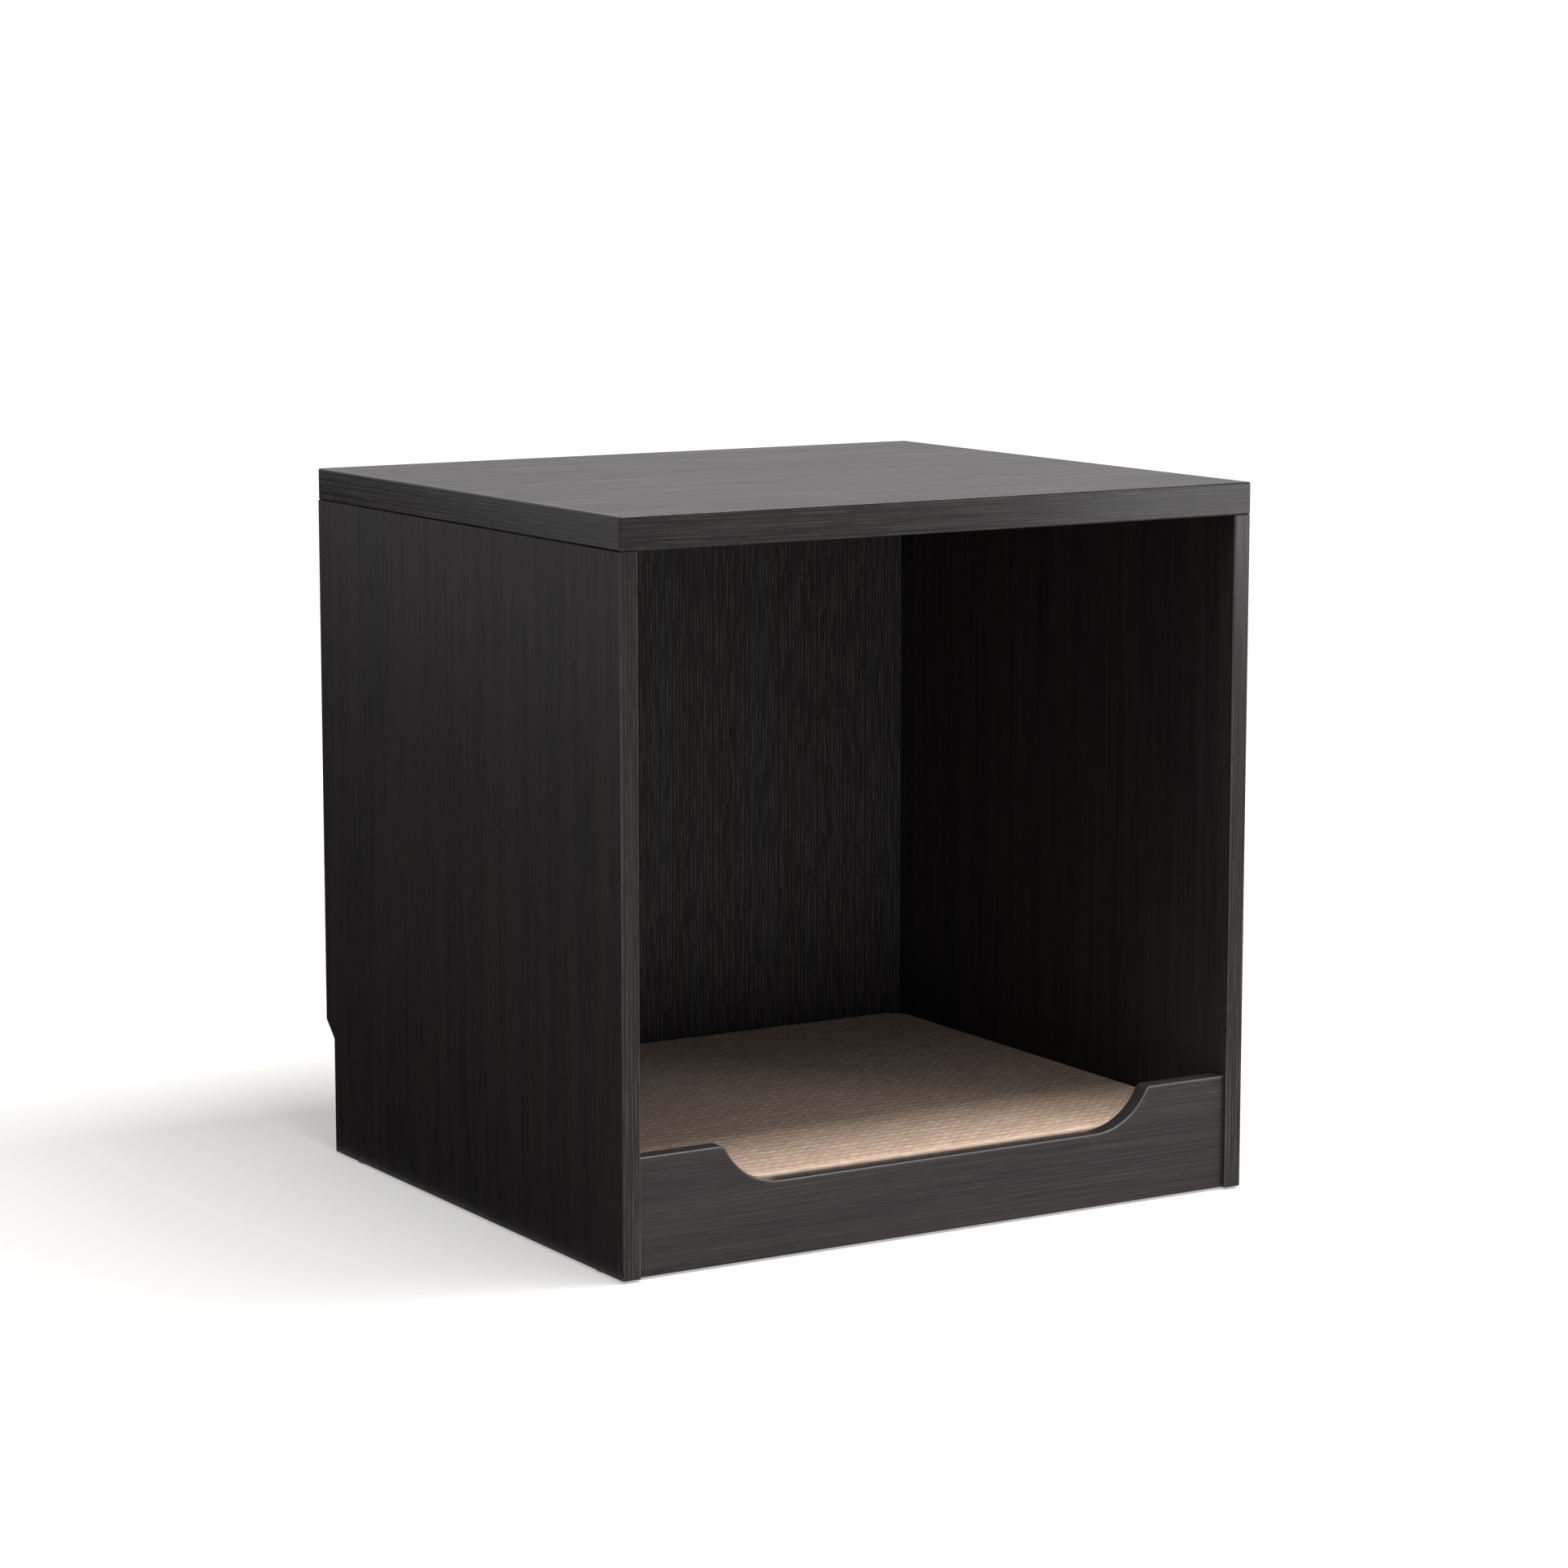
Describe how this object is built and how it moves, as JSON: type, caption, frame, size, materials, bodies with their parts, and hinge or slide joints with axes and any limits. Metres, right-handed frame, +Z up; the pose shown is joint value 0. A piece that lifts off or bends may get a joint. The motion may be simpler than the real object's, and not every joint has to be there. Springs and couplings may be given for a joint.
{
  "type": "pet end table",
  "caption": "Open-fronted box side table with a pet den: thick top, sides to the floor, set-in back, scooped front sill and a loose woven mat.",
  "frame": {"origin": "on the ground under the middle of the table's box", "axes": "+Z up, -Y out of the open front, +X to the right as seen from the front"},
  "size_m": [0.55, 0.484, 0.55],
  "materials": {
    "woodgrain_board": "dark brown-black woodgrain melamine on chipboard, fine embossed grain, satin",
    "abs_edging": "woodgrain ABS edging strip, satin",
    "hardboard_back": "thin hardboard with the same woodgrain print",
    "woven_mat": "coarse tan weave over thin foam",
    "die_cast_zinc": "as cast zinc alloy",
    "zinc_plated_steel": "bright zinc plate",
    "beech": "plain turned beech",
    "cap_plastic": "dark brown moulded plastic",
    "glide_plastic": "dark moulded polyethylene"
  },
  "bodies": {
    "table": {"back_panel": "hardboard_back", "back_screws": "zinc_plated_steel", "cam_bolts_floor": "zinc_plated_steel", "cam_bolts_sill": "zinc_plated_steel", "cam_bolts_top": "zinc_plated_steel", "cam_caps": "cap_plastic", "cam_locks_floor": "die_cast_zinc", "cam_locks_sill": "die_cast_zinc", "cam_locks_top": "die_cast_zinc", "dowels_floor": "beech", "dowels_sill": "beech", "dowels_top": "beech", "floor_glides": "glide_plastic", "floor_panel": "woodgrain_board", "front_sill": "woodgrain_board", "glide_nails": "zinc_plated_steel", "side_edging_left": "abs_edging", "side_edging_right": "abs_edging", "side_panel_left": "woodgrain_board", "side_panel_right": "woodgrain_board", "sill_edging": "abs_edging", "top_edging_front": "abs_edging", "top_edging_left": "abs_edging", "top_edging_rear": "abs_edging", "top_edging_right": "abs_edging", "top_panel": "woodgrain_board"},
    "mat": {"den_mat": "woven_mat"}
  },
  "joints": [
    {"name": "mat_lift", "type": "slide", "parent": "table", "child": "mat", "axis": [0, 0, 1], "range_m": [0, 0.45]}
  ]
}
